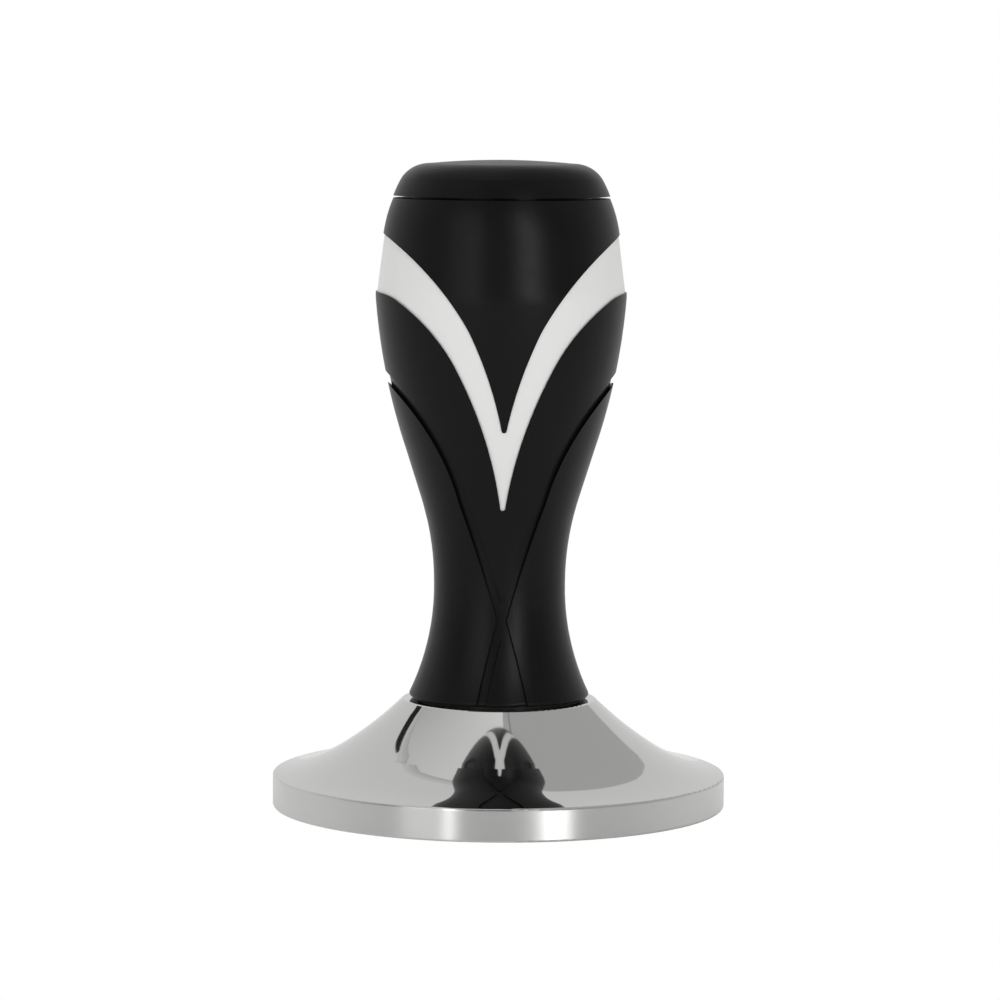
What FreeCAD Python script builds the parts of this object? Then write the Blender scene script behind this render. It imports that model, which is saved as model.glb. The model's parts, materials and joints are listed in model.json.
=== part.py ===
import FreeCAD, Part
import math
import os
import re
import Sketcher

# Espresso tamper: a turned steel base, and a laminated handle that is clamped along a steel spine
# and screws into the base. Millimetres. +Z is up, the tamping face is in the plane Z = 0, the axis
# is the Z axis, and the two V tongues of the handle face -Y and +Y.

SIZES = [
    # base
    ("rim_radius", 29.0, "basket-fitting rim"),
    ("rim_height", 4.2, "height of the cylindrical rim"),
    ("rim_edge", 0.3, "rounding of the rim's two edges"),
    ("flange_arc", 21.6, "radius of the flare beside the rim"),
    ("flange_end", 19.9, "radius from the axis where the flange arc meets the neck arc"),
    ("flange_rise", 7.68, "height of that circle"),
    ("neck_arc", 50.0, "radius of the flare below the handle"),
    ("land_radius", 12.47, "radius where the flare turns to the land under the handle"),
    ("land_edge", 0.4, "rounding of the land's edge"),
    ("land_lean", 44.4, "degrees that the rounding turns, from the flare to the level land"),
    ("land_height", 13.8, "height of the land"),
    ("seat_radius", 10.5, "recess for the gasket"),
    ("seat_floor", 13.6, "height of the recess's floor"),
    ("register_bore", 6.06, "bore that centres the spine's spigot"),
    ("register_floor", 12.6, "floor of the register bore"),
    ("tapped_floor", 4.6, "full depth of the tapped hole"),
    ("drill_tip", 2.3, "height of the drill's cone under the tapped hole"),
    # M8 screw thread, right-handed, of the spine, the base and the nut
    ("thread_pitch", 1.25, "pitch"),
    ("thread_root", 3.35, "root radius of the spine's thread"),
    ("thread_crest", 3.92, "crest radius of the spine's thread"),
    ("thread_flat", 0.09, "half width of the crest"),
    ("thread_slope", 0.577, "half width gained per depth on a 60 degree thread"),
    ("thread_play", 0.06, "play on each flank of the tapped threads"),
    ("thread_minor", 3.45, "bore of the tapped threads"),
    ("thread_major", 4.05, "bottom radius of the tapped threads"),
    ("thread_sink", 0.15, "how far a thread's outline starts inside its core"),
    ("low_thread_start", 6.0, "height of the lower thread's first turn, on the X axis"),
    ("low_thread_rise", 6.25, "height of the lower thread"),
    ("high_thread_start", 66.9, "height of the upper thread's first turn, on the X axis"),
    ("high_thread_rise", 8.75, "height of the upper thread"),
    ("nut_thread_rise", 7.5, "height of the nut's thread, which runs out of both its faces"),
    # spine
    ("rod_radius", 4.0, "shank of the spine"),
    ("rod_tip", 5.3, "lower end of the spine"),
    ("rod_top", 76.2, "upper end of the spine"),
    ("shank_top", 66.2, "where the upper thread takes over from the shank"),
    ("rod_bevel", 0.6, "bevel of the spine's two ends"),
    ("spigot_radius", 6.0, "register spigot"),
    ("spigot_end", 12.8, "lower face of the spigot"),
    ("spigot_bevel", 0.3, "bevel of the spigot's lower edge"),
    ("collar_flats", 13.0, "hexagon of the collar, across flats"),
    ("collar_top", 18.1, "upper face of the collar"),
    # gasket
    ("gasket_inner", 6.3, "inner radius of the gasket"),
    ("gasket_outer", 10.4, "outer radius of the gasket"),
    # handle outline
    ("foot_height", 14.1, "lower face of the handle"),
    ("foot_radius", 11.5, "handle's radius at its foot"),
    ("foot_edge", 0.35, "rounding of the foot"),
    ("foot_lean", 25.0, "degrees that the side leans in, above that rounding"),
    ("waist_radius", 8.4, "narrowest radius"),
    ("waist_height", 28.7, "height of the waist"),
    ("foot_arc", 31.95, "radius of the curve below the waist"),
    ("waist_arc", 36.3, "radius of the curve above the waist"),
    ("flank_start_radius", 10.14, "radius where the straight flank begins"),
    ("flank_start_height", 39.8, "height where the straight flank begins"),
    ("flank_end_radius", 12.07, "radius where the shoulder begins"),
    ("flank_end_height", 45.9, "height where the shoulder begins"),
    ("shoulder_arc", 80.0, "radius of the shoulder's curve"),
    ("brow_radius", 15.97, "widest radius"),
    ("brow_height", 65.0, "height of the widest circle"),
    ("brow_arc", 7.75, "radius of the turn above the widest circle"),
    ("band_start_radius", 15.93, "radius where the upper taper begins"),
    ("band_start_height", 66.6, "height where the upper taper begins"),
    ("crown_start_radius", 15.1, "radius where the crown's curve begins"),
    ("crown_start_height", 73.2, "height where the crown's curve begins"),
    ("crown_arc", 17.7, "radius of the crown's curve"),
    ("seam_radius", 13.85, "radius at the cap's seam"),
    ("crown_top", 77.85, "upper face of the crown"),
    ("seam_gap", 0.3, "gap between crown and cap"),
    ("band_inset", 0.22, "how far the accent band lies under the grip's surface"),
    ("crown_inset", 0.05, "how far the crown lies under the grip's surface"),
    # chevrons, drawn in the front plane and cut straight through
    ("upper_tip", 48.8, "lowest point of the crown's tongue"),
    ("upper_mid_across", 4.54, "where the upper chevron's two arcs meet"),
    ("upper_mid_height", 61.62, "height of that point"),
    ("upper_low_arc", 52.0, "radius of the upper chevron's lower arc"),
    ("upper_high_arc", 36.6, "radius of the upper chevron's upper arc"),
    ("upper_end_height", 75.3, "height of the upper chevron outside the handle"),
    ("lower_tip", 38.75, "lowest point of the band's tongue"),
    ("lower_mid_across", 5.95, "where the lower chevron's first two arcs meet"),
    ("lower_mid_height", 56.6, "height of that point"),
    ("lower_low_arc", 54.0, "radius of the lower chevron's lowest arc"),
    ("lower_far_across", 13.4, "where the lower chevron turns to its peak"),
    ("lower_far_height", 65.15, "height of that point"),
    ("lower_high_arc", 23.0, "radius of the lower chevron's long upper arc"),
    ("lower_peak_across", 15.6, "where the peak is level"),
    ("lower_peak_height", 65.95, "height of the peak"),
    ("lower_peak_arc", 4.2, "radius of the peak"),
    ("tip_across", 0.3, "half width of a tongue where its tip is rounded"),
    ("tip_rise", 0.3, "height of a tongue's rounded tip"),
    ("tip_arc", 0.32, "radius of a tongue's tip"),
    ("cut_across", 18.0, "half width of the cutting outlines, outside the handle"),
    # crossing grooves
    ("groove_depth", 0.42, "depth of the crossing grooves"),
    ("groove_low_width", 1.3, "groove's width at the foot, level"),
    ("groove_mid_width", 1.3, "groove's width between its arcs, level"),
    ("groove_high_width", 1.5, "groove's width outside the handle, level"),
    ("groove_low_across", -2.72, "groove's centre at the foot"),
    ("groove_low_height", 13.9, "height of that point"),
    ("groove_mid_across", 4.8, "groove's centre between its arcs"),
    ("groove_mid_height", 39.5, "height of that point"),
    ("groove_high_across", 17.0, "groove's centre outside the handle"),
    ("groove_high_height", 57.1, "height of that point"),
    ("groove_low_arc", 190.0, "radius of the groove's lower arc"),
    ("groove_high_arc", 32.0, "radius of the groove's upper arc"),
    # handle bores
    ("boss_radius", 7.4, "core of the grip inside the band and crown"),
    ("boss_top", 63.8, "top of that core"),
    ("core_bore", 7.45, "bore of the band and the crown over the core"),
    ("core_bore_top", 64.0, "top of the crown's bore over the core"),
    ("rod_bore", 4.1, "bore over the spine"),
    ("collar_play", 0.1, "play round the collar, across flats"),
    ("nut_seat", 68.4, "floor of the nut pocket"),
    ("nut_pocket", 8.6, "radius of the nut pocket"),
    ("cap_seat", 71.5, "shoulder on which the cap's skirt stands"),
    ("cap_bore", 11.7, "bore for the cap's skirt"),
    # clamp stack
    ("washer_radius", 8.0, "outer radius of the clamp washer"),
    ("washer_bore", 4.2, "bore of both washers"),
    ("washer_height", 1.2, "thickness of the clamp washer"),
    ("spring_radius", 7.2, "outer radius of the lock washer"),
    ("spring_height", 1.6, "thickness of the lock washer"),
    ("spring_slit", 1.2, "slit of the lock washer"),
    ("nut_flats", 13.0, "nut, across flats"),
    ("nut_height", 4.0, "height of the thin nut"),
    ("nut_bevel", 0.5, "height of the bevel on the nut's and the collar's corners"),
    # cap
    ("cap_rim_height", 80.4, "top of the cap's steep edge"),
    ("cap_rim_radius", 12.75, "radius there"),
    ("cap_rim_arc", 14.0, "radius of the steep edge"),
    ("cap_dome_radius", 9.2, "radius where the dome begins"),
    ("cap_dome_height", 82.25, "height where the dome begins"),
    ("cap_turn_arc", 4.2, "radius of the turn from edge to dome"),
    ("cap_top", 82.7, "top of the dome"),
    ("skirt_radius", 11.6, "outer radius of the cap's skirt"),
    ("skirt_inner", 9.4, "inner radius of the skirt"),
    ("cap_ceiling", 79.6, "inside of the cap's top"),
    ("ring_height", 74.6, "centre of the O-ring"),
    ("ring_gauge", 0.75, "radius of the O-ring's section"),
    ("ring_groove_radius", 10.2, "bottom of the O-ring's groove"),
    ("ring_groove_half", 0.85, "half width of the O-ring's groove"),
    # cuts
    ("overcut", 1.0, "how far a cut runs past a face that it opens"),
]
ALIASES = {name for name, number, note in SIZES}
CLOCKWISE = -1
COUNTER = 1
HEX_SIDES = 6

doc = FreeCAD.newDocument("EspressoTamper")
sheet = doc.addObject("Spreadsheet::Sheet", "Sizes")
for line, (name, number, note) in enumerate(SIZES, start=1):
    sheet.set(f"A{line}", str(number))
    sheet.setAlias(f"A{line}", name)
    sheet.set(f"B{line}", note)
doc.recompute()


def bound(text):
    """The expression with each size's name pointing at its cell."""
    return re.sub(r"[a-z_]+", lambda word: "Sizes." + word[0] if word[0] in ALIASES else word[0], text)


def number(text):
    return float(sheet.evalExpression(bound(text)))


def bind(thing, prop, text):
    thing.setExpression(prop, bound(text))


def body_of(label):
    body = doc.addObject("PartDesign::Body", label)
    body.Label = label
    return body


def datum(body, role):
    return next(item for item in body.Origin.OriginFeatures if item.Role == role)


def sketch_on(body, name, role, lift=None):
    sketch = body.newObject("Sketcher::SketchObject", name)
    sketch.AttachmentSupport = [(datum(body, role), "")]
    sketch.MapMode = "FlatFace"
    if lift:
        bind(sketch, "AttachmentOffset.Base.z", lift)
    return sketch


def arc_between(start, end, radius, turn):
    """The short arc from start to end, turning left (COUNTER) or right (CLOCKWISE)."""
    chord = end - start
    left = FreeCAD.Vector(-chord.y, chord.x, 0).normalize()
    reach = math.sqrt(radius * radius - chord.Length * chord.Length / 4)
    centre = start + chord * 0.5 + left * (turn * reach)
    from_angle = math.atan2(start.y - centre.y, start.x - centre.x)
    to_angle = math.atan2(end.y - centre.y, end.x - centre.x)
    if turn == CLOCKWISE:
        from_angle, to_angle = to_angle, from_angle
    circle = Part.Circle(centre, FreeCAD.Vector(0, 0, 1), radius)
    return Part.ArcOfCircle(circle, from_angle, to_angle)


def outline(sketch, steps):
    """Close an outline through steps: (across, up) for a line to the next point, or
    (across, up, radius, turn) for an arc to it. Every point and radius is bound to the sizes."""
    points = [FreeCAD.Vector(number(step[0]), number(step[1]), 0) for step in steps]
    ends = []
    for index, step in enumerate(steps):
        start = points[index]
        end = points[(index + 1) % len(steps)]
        if len(step) == 2:
            edge = sketch.addGeometry(Part.LineSegment(start, end))
            ends.append((edge, 1, 2))
            continue
        radius, turn = step[2:]
        edge = sketch.addGeometry(arc_between(start, end, number(radius), turn))
        ends.append((edge, 1, 2) if turn == COUNTER else (edge, 2, 1))
        mark = sketch.addConstraint(Sketcher.Constraint("Radius", edge, number(radius)))
        bind(sketch, f"Constraints[{mark}]", radius)
    for index, step in enumerate(steps):
        edge, head, tail = ends[index]
        before, before_head, before_tail = ends[index - 1]
        sketch.addConstraint(Sketcher.Constraint("Coincident", before, before_tail, edge, head))
        place_vertex(sketch, edge, head, step[0], step[1])


def place_vertex(sketch, edge, end, across, up):
    for kind, axis, text in (("DistanceX", -2, across), ("DistanceY", -1, up)):
        if number(text) == 0:
            sketch.addConstraint(Sketcher.Constraint("PointOnObject", edge, end, axis))
            continue
        mark = sketch.addConstraint(Sketcher.Constraint(kind, -1, 1, edge, end, number(text)))
        bind(sketch, f"Constraints[{mark}]", text)


def turned(body, name, steps, kind="PartDesign::Revolution"):
    """Turn an outline in the front plane about the Z axis, to add or (Groove) to cut."""
    sketch = sketch_on(body, name + "Outline", "XZ_Plane")
    outline(sketch, steps)
    feature = body.newObject(kind, name)
    feature.Profile = sketch
    feature.ReferenceAxis = (datum(body, "Z_Axis"), [""])
    feature.Angle = 360
    return feature


def cut_through(body, name, steps):
    """Cut an outline in the front plane straight through, along Y."""
    sketch = sketch_on(body, name + "Outline", "XZ_Plane")
    outline(sketch, steps)
    pocket = body.newObject("PartDesign::Pocket", name)
    pocket.Profile = sketch
    pocket.SideType = "Symmetric"
    pocket.Type = "ThroughAll"
    return pocket


def hexagon(sketch, flats):
    """A regular hexagon about the origin, with two corners on the X axis."""
    size = number(flats) / math.sqrt(3)
    corners = [
        FreeCAD.Vector(size * math.cos(turn), size * math.sin(turn), 0)
        for turn in (math.radians(60 * side) for side in range(HEX_SIDES))
    ]
    guide = sketch.addGeometry(Part.Circle(FreeCAD.Vector(0, 0, 0), FreeCAD.Vector(0, 0, 1), size), True)
    sketch.addConstraint(Sketcher.Constraint("Coincident", guide, 3, -1, 1))
    mark = sketch.addConstraint(Sketcher.Constraint("Radius", guide, size))
    bind(sketch, f"Constraints[{mark}]", f"({flats}) / sqrt(3)")
    sides = [
        sketch.addGeometry(Part.LineSegment(corners[side], corners[(side + 1) % HEX_SIDES]))
        for side in range(HEX_SIDES)
    ]
    for side, edge in enumerate(sides):
        sketch.addConstraint(Sketcher.Constraint("Coincident", sides[side - 1], 2, edge, 1))
        sketch.addConstraint(Sketcher.Constraint("PointOnObject", edge, 1, guide))
        if side:
            sketch.addConstraint(Sketcher.Constraint("Equal", sides[0], edge))
    sketch.addConstraint(Sketcher.Constraint("PointOnObject", sides[0], 1, -1))


def hex_block(body, name, flats, bottom, top, kind="PartDesign::Pad"):
    sketch = sketch_on(body, name + "Outline", "XY_Plane", bottom)
    hexagon(sketch, flats)
    feature = body.newObject(kind, name)
    feature.Profile = sketch
    bind(feature, "Length", f"({top}) - ({bottom})")
    feature.Reversed = kind == "PartDesign::Pocket"
    return feature


def tube(body, name, inner, outer, bottom, top, kind="PartDesign::Revolution"):
    """A turned ring or, with an inner radius of 0, a turned disc or round hole."""
    return turned(
        body, name, [(inner, bottom), (outer, bottom), (outer, top), (inner, top)], kind
    )


def bore(body, name, radius, bottom, top):
    return tube(body, name, "0", radius, bottom, top, "PartDesign::Groove")


def bevel_corners(body, name, flats, level, depth):
    """Turn the corners of a hexagon down to a cone beside the face at the given level."""
    flat, corner = f"({flats}) / 2", f"({flats}) / sqrt(3) + overcut"
    return turned(body, name, [
        (flat, level),
        (corner, level),
        (corner, f"{level} + ({depth}) * ({corner} - {flat}) / (({flats}) / sqrt(3) - {flat})"),
    ], "PartDesign::Groove")


def thread(body, name, kind, start, rise, inner, outer, play):
    """Sweep a 60 degree thread's outline up a right-handed helix, from the X axis at start."""
    def half(radius):
        return f"(thread_flat + (thread_crest - ({radius})) * thread_slope + {play})"

    sketch = sketch_on(body, name + "Outline", "XZ_Plane")
    outline(sketch, [
        (inner, f"{start} - {half(inner)}"),
        (outer, f"{start} - {half(outer)}"),
        (outer, f"{start} + {half(outer)}"),
        (inner, f"{start} + {half(inner)}"),
    ])
    helix = body.newObject(kind, name)
    helix.Profile = sketch
    helix.ReferenceAxis = (datum(body, "Z_Axis"), [""])
    helix.Mode = "pitch-height-angle"
    bind(helix, "Pitch", "thread_pitch")
    bind(helix, "Height", rise)
    return helix


def rod_thread(body, name, start, rise):
    return thread(
        body, name, "PartDesign::AdditiveHelix", start, rise,
        "thread_root - thread_sink", "thread_crest", "0",
    )


def tapped_thread(body, start, rise):
    return thread(
        body, "TappedThread", "PartDesign::SubtractiveHelix", start, rise,
        "thread_minor - thread_sink", "thread_major", "thread_play",
    )


def make_base():
    body = body_of("base")
    turned(body, "Disc", [
        ("0", "0"),
        ("rim_radius - rim_edge", "0", "rim_edge", COUNTER),
        ("rim_radius", "rim_edge"),
        ("rim_radius", "rim_height - rim_edge", "rim_edge", COUNTER),
        ("rim_radius - rim_edge", "rim_height", "flange_arc", CLOCKWISE),
        ("flange_end", "flange_rise", "neck_arc", CLOCKWISE),
        ("land_radius", "land_height - land_edge * (1 - cos(land_lean))", "land_edge", COUNTER),
        ("land_radius - land_edge * sin(land_lean)", "land_height"),
        ("0", "land_height"),
    ])
    bore(body, "GasketSeat", "seat_radius", "seat_floor", "land_height + overcut")
    bore(body, "Register", "register_bore", "register_floor", "land_height + overcut")
    turned(body, "DrilledHole", [
        ("0", "drill_tip"),
        ("thread_minor", "tapped_floor"),
        ("thread_minor", "land_height"),
        ("0", "land_height"),
    ], "PartDesign::Groove")
    tapped_thread(body, "low_thread_start - thread_pitch", "low_thread_rise + 2 * thread_pitch")
    return body


def make_gasket():
    body = body_of("handle_gasket")
    tube(body, "Ring", "gasket_inner", "gasket_outer", "seat_floor", "foot_height")
    return body


def make_spine():
    body = body_of("spine")
    turned(body, "Rod", [
        ("0", "rod_tip"),
        ("thread_root - rod_bevel", "rod_tip"),
        ("thread_root", "rod_tip + rod_bevel"),
        ("thread_root", "spigot_end"),
        ("spigot_radius - spigot_bevel", "spigot_end"),
        ("spigot_radius", "spigot_end + spigot_bevel"),
        ("spigot_radius", "foot_height"),
        ("rod_radius", "foot_height"),
        ("rod_radius", "shank_top - (rod_radius - thread_root)"),
        ("thread_root", "shank_top"),
        ("thread_root", "rod_top - rod_bevel"),
        ("thread_root - rod_bevel", "rod_top"),
        ("0", "rod_top"),
    ])
    hex_block(body, "Collar", "collar_flats", "foot_height", "collar_top")
    bevel_corners(body, "CollarBevel", "collar_flats", "collar_top", "-nut_bevel")
    rod_thread(body, "LowerThread", "low_thread_start", "low_thread_rise")
    rod_thread(body, "UpperThread", "high_thread_start", "high_thread_rise")
    return body


def handle_skin(body, name, inset):
    """The handle's whole outer form from foot to seam, drawn in by inset."""
    return turned(body, name, [
        ("0", "foot_height"),
        (f"foot_radius - foot_edge - {inset}", "foot_height", "foot_edge", COUNTER),
        (
            f"foot_radius - foot_edge * (1 - cos(foot_lean)) - {inset}",
            "foot_height + foot_edge * (1 + sin(foot_lean))", "foot_arc", CLOCKWISE,
        ),
        (f"waist_radius - {inset}", "waist_height", "waist_arc", CLOCKWISE),
        (f"flank_start_radius - {inset}", "flank_start_height"),
        (f"flank_end_radius - {inset}", "flank_end_height", "shoulder_arc", COUNTER),
        (f"brow_radius - {inset}", "brow_height", "brow_arc", COUNTER),
        (f"band_start_radius - {inset}", "band_start_height"),
        (f"crown_start_radius - {inset}", "crown_start_height", "crown_arc", COUNTER),
        (f"seam_radius - {inset}", "crown_top"),
        ("0", "crown_top"),
    ])


ABOVE = "crown_top + overcut"
BELOW = "foot_height - overcut"


def upper_points():
    """Right half of the crown's chevron, from the tip outwards: point and arc to the next."""
    return [
        ("tip_across", "upper_tip + tip_rise", "upper_low_arc", CLOCKWISE),
        ("upper_mid_across", "upper_mid_height", "upper_high_arc", CLOCKWISE),
        ("cut_across", "upper_end_height"),
    ]


def lower_points():
    """Right half of the band's chevron, from the tip outwards."""
    return [
        ("tip_across", "lower_tip + tip_rise", "lower_low_arc", CLOCKWISE),
        ("lower_mid_across", "lower_mid_height", "lower_high_arc", CLOCKWISE),
        ("lower_far_across", "lower_far_height", "lower_peak_arc", CLOCKWISE),
        ("lower_peak_across", "lower_peak_height"),
        ("cut_across", "lower_peak_height"),
    ]


def chevron_outline(half, level):
    """Mirror the half chevron, round its tip and close it along a level line, so that the outline
    covers everything on that line's side of the chevron."""
    steps = []
    for index in range(len(half) - 1, 0, -1):
        across, up = half[index][:2]
        arc = half[index - 1][2:]
        steps.append((f"-{across}", up) + ((arc[0], CLOCKWISE) if arc else ()))
    steps.append((f"-{half[0][0]}", half[0][1], "tip_arc", COUNTER))
    steps += half
    steps += [("cut_across", level), ("-cut_across", level)]
    return steps


def groove_outline():
    """One groove of the crossing pair, as a tapering ribbon in the front plane."""
    low = ("groove_low_across", "groove_low_height", "groove_low_width / 2")
    middle = ("groove_mid_across", "groove_mid_height", "groove_mid_width / 2")
    high = ("groove_high_across", "groove_high_height", "groove_high_width / 2")
    return [
        (f"{low[0]} + {low[2]}", low[1], "groove_low_arc", CLOCKWISE),
        (f"{middle[0]} + {middle[2]}", middle[1], "groove_high_arc", CLOCKWISE),
        (f"{high[0]} + {high[2]}", high[1]),
        (f"{high[0]} - {high[2]}", high[1], "groove_high_arc", COUNTER),
        (f"{middle[0]} - {middle[2]}", middle[1], "groove_low_arc", COUNTER),
        (f"{low[0]} - {low[2]}", low[1]),
    ]


def make_lower_grip():
    body = body_of("lower_grip")
    handle_skin(body, "Skin", "0")
    groove = cut_through(body, "Groove", groove_outline())
    mirrored = body.newObject("PartDesign::Mirrored", "CrossingGroove")
    mirrored.Originals = [groove]
    mirrored.MirrorPlane = (datum(body, "YZ_Plane"), [""])
    body.Tip = mirrored
    handle_skin(body, "Core", "groove_depth")
    cut_through(body, "ChevronCut", chevron_outline(lower_points(), ABOVE))
    tube(body, "Boss", "0", "boss_radius", "waist_height", "boss_top")
    bore(body, "RodBore", "rod_bore", "foot_height - overcut", "boss_top + overcut")
    hex_block(
        body, "CollarSocket", "collar_flats + collar_play", "foot_height", "collar_top", "PartDesign::Pocket"
    )
    return body


def make_accent_band():
    body = body_of("accent_band")
    handle_skin(body, "Skin", "band_inset")
    cut_through(body, "UpperCut", chevron_outline(upper_points(), ABOVE))
    cut_through(body, "LowerCut", chevron_outline(lower_points(), BELOW))
    bore(body, "CoreBore", "core_bore", "foot_height - overcut", "crown_top + overcut")
    return body


def make_crown_shell():
    body = body_of("crown_shell")
    handle_skin(body, "Skin", "crown_inset")
    cut_through(body, "LowerCut", chevron_outline(upper_points(), BELOW))
    bore(body, "CoreBore", "core_bore", "foot_height - overcut", "core_bore_top")
    bore(body, "RodBore", "rod_bore", "foot_height - overcut", "crown_top + overcut")
    bore(body, "NutPocket", "nut_pocket", "nut_seat", "crown_top + overcut")
    bore(body, "CapBore", "cap_bore", "cap_seat", "crown_top + overcut")
    return body


def make_clamp_washer():
    body = body_of("clamp_washer")
    tube(body, "Ring", "washer_bore", "washer_radius", "nut_seat", "nut_seat + washer_height")
    return body


def make_lock_washer():
    body = body_of("lock_washer")
    bottom = "nut_seat + washer_height"
    tube(body, "Ring", "washer_bore", "spring_radius", bottom, f"{bottom} + spring_height")
    sketch = sketch_on(body, "SlitOutline", "XY_Plane", bottom)
    outline(sketch, [
        ("0", "-spring_slit / 2"),
        ("spring_radius + overcut", "-spring_slit / 2"),
        ("spring_radius + overcut", "spring_slit / 2"),
        ("0", "spring_slit / 2"),
    ])
    slit = body.newObject("PartDesign::Pocket", "Slit")
    slit.Profile = sketch
    slit.SideType = "Symmetric"
    slit.Type = "ThroughAll"
    return body


def make_clamp_nut():
    body = body_of("clamp_nut")
    bottom = "nut_seat + washer_height + spring_height"
    top = f"{bottom} + nut_height"
    hex_block(body, "Hexagon", "nut_flats", bottom, top)
    bevel_corners(body, "UpperBevel", "nut_flats", top, "-nut_bevel")
    bevel_corners(body, "LowerBevel", "nut_flats", bottom, "nut_bevel")
    bore(body, "DrilledHole", "thread_minor", "nut_seat", "crown_top")
    tapped_thread(body, "high_thread_start + thread_pitch", "nut_thread_rise")
    return body


def make_top_cap():
    body = body_of("top_cap")
    dome_rise = "(cap_top - cap_dome_height)"
    dome_radius = f"(cap_dome_radius ^ 2 + {dome_rise} ^ 2) / (2 * {dome_rise})"
    turned(body, "Dome", [
        ("0", "crown_top + seam_gap"),
        ("seam_radius - crown_inset", "crown_top + seam_gap", "cap_rim_arc", COUNTER),
        ("cap_rim_radius", "cap_rim_height", "cap_turn_arc", COUNTER),
        ("cap_dome_radius", "cap_dome_height", dome_radius, COUNTER),
        ("0", "cap_top"),
    ])
    tube(body, "Skirt", "0", "skirt_radius", "cap_seat", "crown_top + seam_gap")
    bore(body, "Hollow", "skirt_inner", "cap_seat - overcut", "cap_ceiling")
    tube(
        body, "RingGroove", "ring_groove_radius", "skirt_radius + overcut",
        "ring_height - ring_groove_half", "ring_height + ring_groove_half", "PartDesign::Groove",
    )
    return body


def make_cap_o_ring():
    ring = doc.addObject("Part::Torus", "cap_o_ring")
    ring.Label = "cap_o_ring"
    bind(ring, "Radius1", "cap_bore - ring_gauge")
    bind(ring, "Radius2", "ring_gauge")
    bind(ring, "Placement.Base.z", "ring_height")
    return ring


def check(parts):
    """Stop on any object that failed, or any part that isn't one sound solid."""
    for item in doc.Objects:
        if "Invalid" in item.State or "Error" in item.State:
            raise RuntimeError(f"{item.Label} failed: {item.State}")
    for part in parts:
        if part.Shape.isNull() or not part.Shape.isValid() or len(part.Shape.Solids) != 1:
            raise RuntimeError(f"{part.Label} isn't one valid solid")
        box = part.Shape.optimalBoundingBox()
        print(f"{part.Label:16} {part.Shape.Volume:10.1f} mm3  z {box.ZMin:7.2f} to {box.ZMax:7.2f}")


parts = [
    make_base(),
    make_gasket(),
    make_spine(),
    make_lower_grip(),
    make_accent_band(),
    make_crown_shell(),
    make_clamp_washer(),
    make_lock_washer(),
    make_clamp_nut(),
    make_top_cap(),
    make_cap_o_ring(),
]
doc.recompute()
check(parts)
os.makedirs("parts", exist_ok=True)
for part in parts:
    part.Shape.exportStep(f"parts/{part.Label}.step")
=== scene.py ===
import json
import math

import bpy
from mathutils import Matrix, Vector

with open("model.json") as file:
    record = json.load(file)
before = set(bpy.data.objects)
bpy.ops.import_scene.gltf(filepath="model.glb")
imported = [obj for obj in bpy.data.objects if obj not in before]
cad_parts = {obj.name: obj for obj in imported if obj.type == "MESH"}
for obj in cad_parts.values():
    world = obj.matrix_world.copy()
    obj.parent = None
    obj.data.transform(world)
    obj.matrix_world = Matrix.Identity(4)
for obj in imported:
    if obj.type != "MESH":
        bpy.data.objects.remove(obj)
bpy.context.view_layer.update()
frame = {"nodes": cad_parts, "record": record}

MM = 0.001


# ---------------------------------------------------------------- materials

class Shader:
    """A node material with one Principled shader, and short helpers to wire it."""

    def __init__(self, name, **sockets):
        self.material = bpy.data.materials.new(name)
        self.material.use_nodes = True
        self.tree = self.material.node_tree
        self.surface = self.tree.nodes["Principled BSDF"]
        for socket, value in sockets.items():
            self.set(socket.replace("_", " "), value)

    def set(self, socket, value):
        self.surface.inputs[socket].default_value = value

    def node(self, kind, **settings):
        node = self.tree.nodes.new(kind)
        for key, value in settings.items():
            setattr(node, key, value)
        return node

    def link(self, source, target):
        self.tree.links.new(source, target)

    def place(self):
        """Object coordinates in metres, which don't slide when a body moves."""
        return self.node("ShaderNodeTexCoord").outputs["Object"]

    def noise(self, scale, detail=2.0, vector=None):
        noise = self.node("ShaderNodeTexNoise")
        noise.inputs["Scale"].default_value = scale
        noise.inputs["Detail"].default_value = detail
        self.link(vector or self.place(), noise.inputs["Vector"])
        return noise.outputs["Fac"]

    def spread(self, source, low, high, start=0.0, end=1.0):
        """Map source from start..end to low..high."""
        span = self.node("ShaderNodeMapRange")
        span.inputs["From Min"].default_value = start
        span.inputs["From Max"].default_value = end
        span.inputs["To Min"].default_value = low
        span.inputs["To Max"].default_value = high
        self.link(source, span.inputs["Value"])
        return span.outputs["Result"]

    def bump(self, height, strength, distance):
        bump = self.node("ShaderNodeBump")
        bump.inputs["Strength"].default_value = strength
        bump.inputs["Distance"].default_value = distance
        self.link(height, bump.inputs["Height"])
        self.link(bump.outputs["Normal"], self.surface.inputs["Normal"])


def black_plastic():
    """Matte moulded plastic with a fine spark-eroded texture."""
    shader = Shader("black_moulded_plastic", Base_Color=(0.005, 0.005, 0.0055, 1))
    shader.set("Specular IOR Level", 0.12)
    shader.link(shader.spread(shader.noise(600, 2), 0.31, 0.37), shader.surface.inputs["Roughness"])
    shader.bump(shader.noise(9000, 3), 0.35, 0.00002)
    return shader.material


def grey_plastic():
    """Pale grey satin plastic."""
    shader = Shader("grey_satin_plastic", Base_Color=(0.80, 0.80, 0.79, 1))
    shader.link(shader.spread(shader.noise(500, 2), 0.34, 0.42), shader.surface.inputs["Roughness"])
    shader.bump(shader.noise(8000, 2), 0.15, 0.00001)
    return shader.material


RIM_TOP = 4.2 * MM
RIM_BLEND = 0.1 * MM
LATHE_LINES = 9000
FLARE_ROUGHNESS = 0.045


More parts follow.
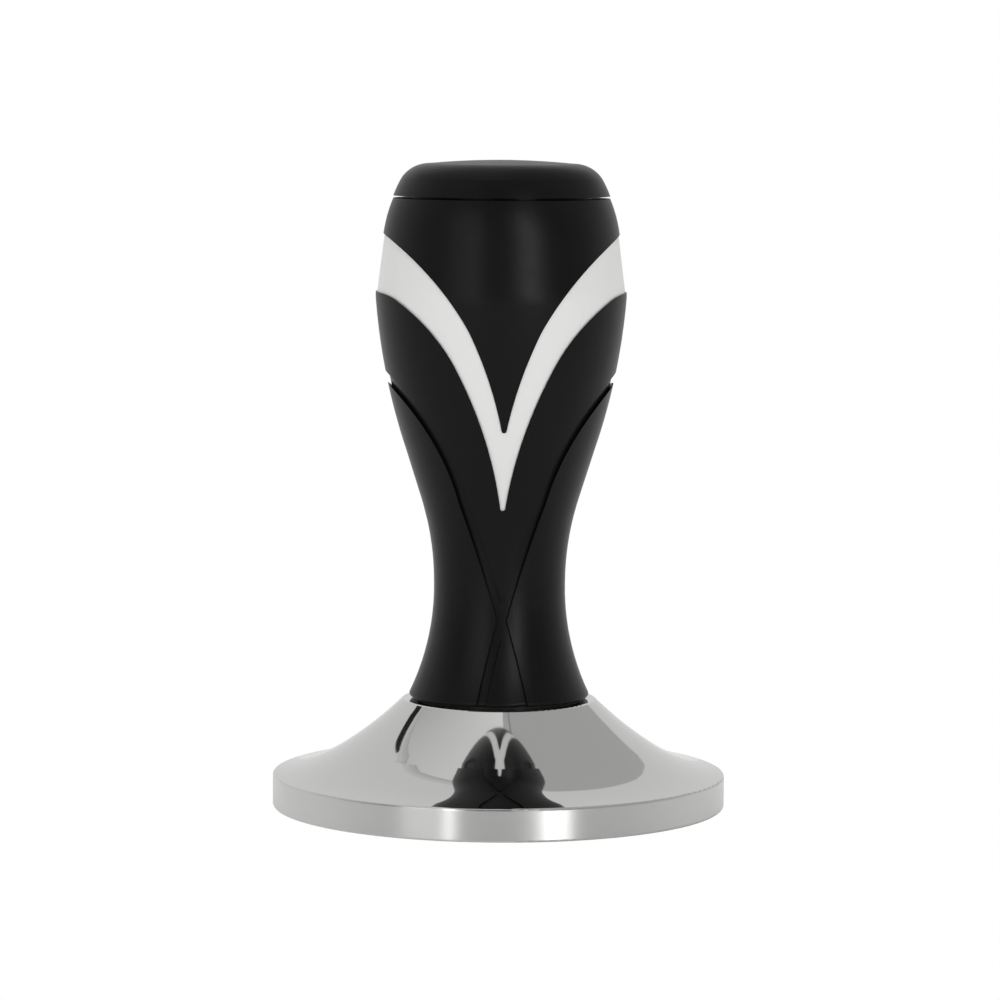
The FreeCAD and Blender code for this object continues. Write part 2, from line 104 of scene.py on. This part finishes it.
def base_steel():
    """Stainless steel: a mirror-polished flare, and a rim brushed by fine lathe lines round it."""
    shader = Shader("polished_stainless", Metallic=1.0, Base_Color=(0.62, 0.62, 0.61, 1))
    apart = shader.node("ShaderNodeSeparateXYZ")
    shader.link(shader.place(), apart.inputs[0])
    height = apart.outputs["Z"]
    rings = shader.node("ShaderNodeCombineXYZ")
    shader.link(shader.spread(height, 0, LATHE_LINES * MM, 0, MM), rings.inputs["Z"])
    lathe = shader.spread(shader.noise(1.0, 4, rings.outputs[0]), 0.24, 0.34)
    rim = shader.spread(height, 1, 0, RIM_TOP - RIM_BLEND, RIM_TOP)
    blend = shader.node("ShaderNodeMix")
    blend.inputs["A"].default_value = FLARE_ROUGHNESS
    shader.link(rim, blend.inputs["Factor"])
    shader.link(lathe, blend.inputs["B"])
    shader.link(blend.outputs["Result"], shader.surface.inputs["Roughness"])
    around = shader.node("ShaderNodeTangent", direction_type="RADIAL", axis="Z")
    shader.link(around.outputs[0], shader.surface.inputs["Tangent"])
    shader.link(shader.spread(rim, 0, 0.9), shader.surface.inputs["Anisotropic"])
    shader.set("Anisotropic Rotation", 0.25)
    return shader.material


def turned_steel():
    """Zinc-bright turned steel of the spine, nut and washers."""
    shader = Shader("turned_steel", Metallic=1.0, Base_Color=(0.55, 0.55, 0.53, 1))
    shader.link(shader.spread(shader.noise(900, 3), 0.22, 0.38), shader.surface.inputs["Roughness"])
    shader.bump(shader.noise(3000, 2), 0.1, 0.00001)
    return shader.material


def black_rubber():
    shader = Shader("black_rubber", Base_Color=(0.010, 0.010, 0.010, 1))
    shader.link(shader.spread(shader.noise(700, 3), 0.55, 0.75), shader.surface.inputs["Roughness"])
    shader.bump(shader.noise(5000, 3), 0.3, 0.00002)
    return shader.material


FINISHES = {
    "polished_steel": base_steel(),
    "turned_steel": turned_steel(),
    "black_plastic": black_plastic(),
    "grey_plastic": grey_plastic(),
    "black_rubber": black_rubber(),
}


def dress(name, slot):
    """Give a CAD node its finish."""
    node = frame["nodes"][name]
    node.data.materials.clear()
    node.data.materials.append(FINISHES[slot])


for part in frame["record"]["subparts"]:
    dress(part["node"], part["material_slot"])


# ---------------------------------------------------------------- studio

def studio_card(name, corners, material):
    """A flat card of the studio, which reflections and diffuse light see but the camera doesn't."""
    mesh = bpy.data.meshes.new(name)
    mesh.from_pydata(corners, [], [tuple(range(len(corners)))])
    mesh.materials.append(material)
    card = bpy.data.objects.new(name, mesh)
    bpy.context.scene.collection.objects.link(card)
    card.visible_camera = False
    return card


FLOOR_HALF = 3.0
FLOOR_GLOW = 0.22


def studio_floor():
    paper = Shader("floor_paper", Base_Color=(0.85, 0.85, 0.85, 1), Roughness=0.9)
    paper.set("Emission Color", (1, 1, 1, 1))
    paper.set("Emission Strength", FLOOR_GLOW)
    signs = ((-1, -1), (1, -1), (1, 1), (-1, 1))
    corners = [(across * FLOOR_HALF, back * FLOOR_HALF, 0) for across, back in signs]
    studio_card("floor", corners, paper.material)


def glowing_card(name, corners, glow, glow_right=None):
    """A card of even glow, or with one that changes from glow at its left to glow_right."""
    shader = Shader(name, Base_Color=(0, 0, 0, 1), Roughness=1.0)
    shader.set("Specular IOR Level", 0)
    shader.set("Emission Color", (1, 1, 1, 1))
    shader.set("Emission Strength", glow)
    if glow_right is not None:
        apart = shader.node("ShaderNodeSeparateXYZ")
        shader.link(shader.node("ShaderNodeTexCoord").outputs["Generated"], apart.inputs[0])
        strength = shader.spread(apart.outputs["X"], glow, glow_right)
        shader.link(strength, shader.surface.inputs["Emission Strength"])
    studio_card(name, corners, shader.material).visible_shadow = False


STRIP_REACH = 0.9
STRIP_LENGTH = 0.7
STRIP_LIFT = 0.25
STRIP_AIM = 0.04
STRIP_LEAN = math.radians(12)


def strip_light(name, turn, width, radiance):
    """A long soft box that faces the object, turn degrees to the side of the front, and rolled by
    STRIP_LEAN about the line to the object."""
    light = bpy.data.lights.new(name, "AREA")
    light.energy = radiance * math.pi * width * STRIP_LENGTH
    light.shape = "RECTANGLE"
    light.size = width
    light.size_y = STRIP_LENGTH
    lamp = bpy.data.objects.new(name, light)
    bpy.context.scene.collection.objects.link(lamp)
    angle = math.radians(turn)
    lamp.location = (STRIP_REACH * math.sin(angle), -STRIP_REACH * math.cos(angle), STRIP_LIFT)
    facing = (Vector((0, 0, STRIP_AIM)) - lamp.location).to_track_quat("-Z", "Y").to_matrix()
    lamp.rotation_euler = (facing @ Matrix.Rotation(STRIP_LEAN, 3, "Z")).to_euler()
    lamp.visible_camera = False


CEILING = 0.60
LAYER = 0.005
CARD_FRONT = -0.30
LEFT_END = -0.62
MIDDLE_LEFT = 0.024
FRAME_LEFT = 0.058
MIDDLE_RIGHT = 0.066
RIGHT_END = 1.30


def left_outline(margin):
    """The left box, with its far edge set back by margin."""
    far_edge = (
        (MIDDLE_LEFT, 0.287), (-0.10, 0.295), (-0.19, 0.305), (-0.273, 0.322), (-0.321, 0.348),
        (-0.48, 0.435), (LEFT_END, 0.51),
    )
    beyond = [(across, back + margin) for across, back in far_edge]
    return [(LEFT_END, CARD_FRONT), (MIDDLE_LEFT, CARD_FRONT)] + beyond


def ceiling_cards():
    """The large soft boxes overhead, which the flare mirrors: a left one that is brighter towards
    the middle, under three layers that show past its far edge, a right one that reaches far back
    and has a dim frame along the middle, and a dark stand behind the left one."""
    right_box = [
        (MIDDLE_RIGHT, CARD_FRONT), (RIGHT_END, CARD_FRONT), (RIGHT_END, 1.30), (0.75, 1.10),
        (0.54, 1.03), (0.10, 0.45), (MIDDLE_RIGHT, 0.30),
    ]
    right_frame = [
        (FRAME_LEFT, CARD_FRONT), (MIDDLE_RIGHT, CARD_FRONT), (MIDDLE_RIGHT, 0.30), (FRAME_LEFT, 0.30),
    ]
    stand = [
        (-0.640, 0.740), (-0.590, 0.560), (-0.537, 0.522), (-0.469, 0.496), (-0.368, 0.435),
        (-0.368, 0.454), (-0.435, 0.541),
    ]
    cards = (
        ("left_box", 0, 0.50, 0.88, left_outline(0)),
        ("left_border", 1, 0.50, None, left_outline(0.014)),
        ("left_spill", 2, 0.58, None, left_outline(0.040)),
        ("left_haze", 3, 0.66, None, left_outline(0.075)),
        ("right_box", 0, 0.50, None, right_box),
        ("right_frame", 1, 0.30, None, right_frame),
        ("stand", 0, 0.02, None, stand),
    )
    for name, layer, glow, glow_right, outline in cards:
        height = CEILING + layer * LAYER
        glowing_card(name, [(across, back, height) for across, back in outline], glow, glow_right)


def studio_lights():
    strip_light("left_strip", turn=-28, width=0.06, radiance=8.0)
    strip_light("left_fill", turn=-44, width=0.28, radiance=1.2)
    strip_light("right_strip", turn=25, width=0.22, radiance=6.5)
    ceiling_cards()
    world_light()


WORLD_RAMP = (("From Min", -0.8), ("From Max", 0.5), ("To Min", 0.12), ("To Max", 0.75))


def world_light():
    """Pale studio: white where it is seen directly, and as light, dim at the front and bright at
    the back."""
    world = bpy.data.worlds.new("studio")
    world.use_nodes = True
    tree = world.node_tree
    glow = tree.nodes["Background"]
    direction = tree.nodes.new("ShaderNodeTexCoord").outputs["Generated"]
    apart = tree.nodes.new("ShaderNodeSeparateXYZ")
    tree.links.new(direction, apart.inputs[0])
    behind = tree.nodes.new("ShaderNodeMapRange")
    behind.interpolation_type = "SMOOTHSTEP"
    tree.links.new(apart.outputs["Y"], behind.inputs["Value"])
    for socket, value in WORLD_RAMP:
        behind.inputs[socket].default_value = value
    seen = tree.nodes.new("ShaderNodeLightPath").outputs["Is Camera Ray"]
    white = tree.nodes.new("ShaderNodeMath")
    white.operation = "MAXIMUM"
    tree.links.new(seen, white.inputs[0])
    tree.links.new(behind.outputs["Result"], white.inputs[1])
    tree.links.new(white.outputs[0], glow.inputs["Strength"])
    glow.inputs["Color"].default_value = (1, 1, 1, 1)
    bpy.context.scene.world = world
    bpy.context.scene.view_settings.view_transform = "Standard"


# ---------------------------------------------------------------- camera

CAMERA_DISTANCE = 541.8 * MM
CAMERA_HEIGHT = 91.25 * MM
CAMERA_AIM = 39.3 * MM
CAMERA_TURN = math.radians(2.05)
CAMERA_ROLL = math.radians(0.34)
CAMERA_LENS = 153.1
CAMERA_NEAR = 0.01


def photo_camera():
    camera = bpy.data.objects.new("camera", bpy.data.cameras.new("camera"))
    bpy.context.scene.collection.objects.link(camera)
    camera.data.lens = CAMERA_LENS
    camera.data.clip_start = CAMERA_NEAR
    place = Vector((
        -CAMERA_DISTANCE * math.sin(CAMERA_TURN),
        -CAMERA_DISTANCE * math.cos(CAMERA_TURN),
        CAMERA_HEIGHT,
    ))
    aim = Vector((0, 0, CAMERA_AIM)) - place
    facing = aim.to_track_quat("-Z", "Y").to_matrix() @ Matrix.Rotation(CAMERA_ROLL, 3, "Z")
    camera.matrix_world = Matrix.Translation(place) @ facing.to_4x4()
    bpy.context.scene.camera = camera


studio_floor()
studio_lights()
photo_camera()
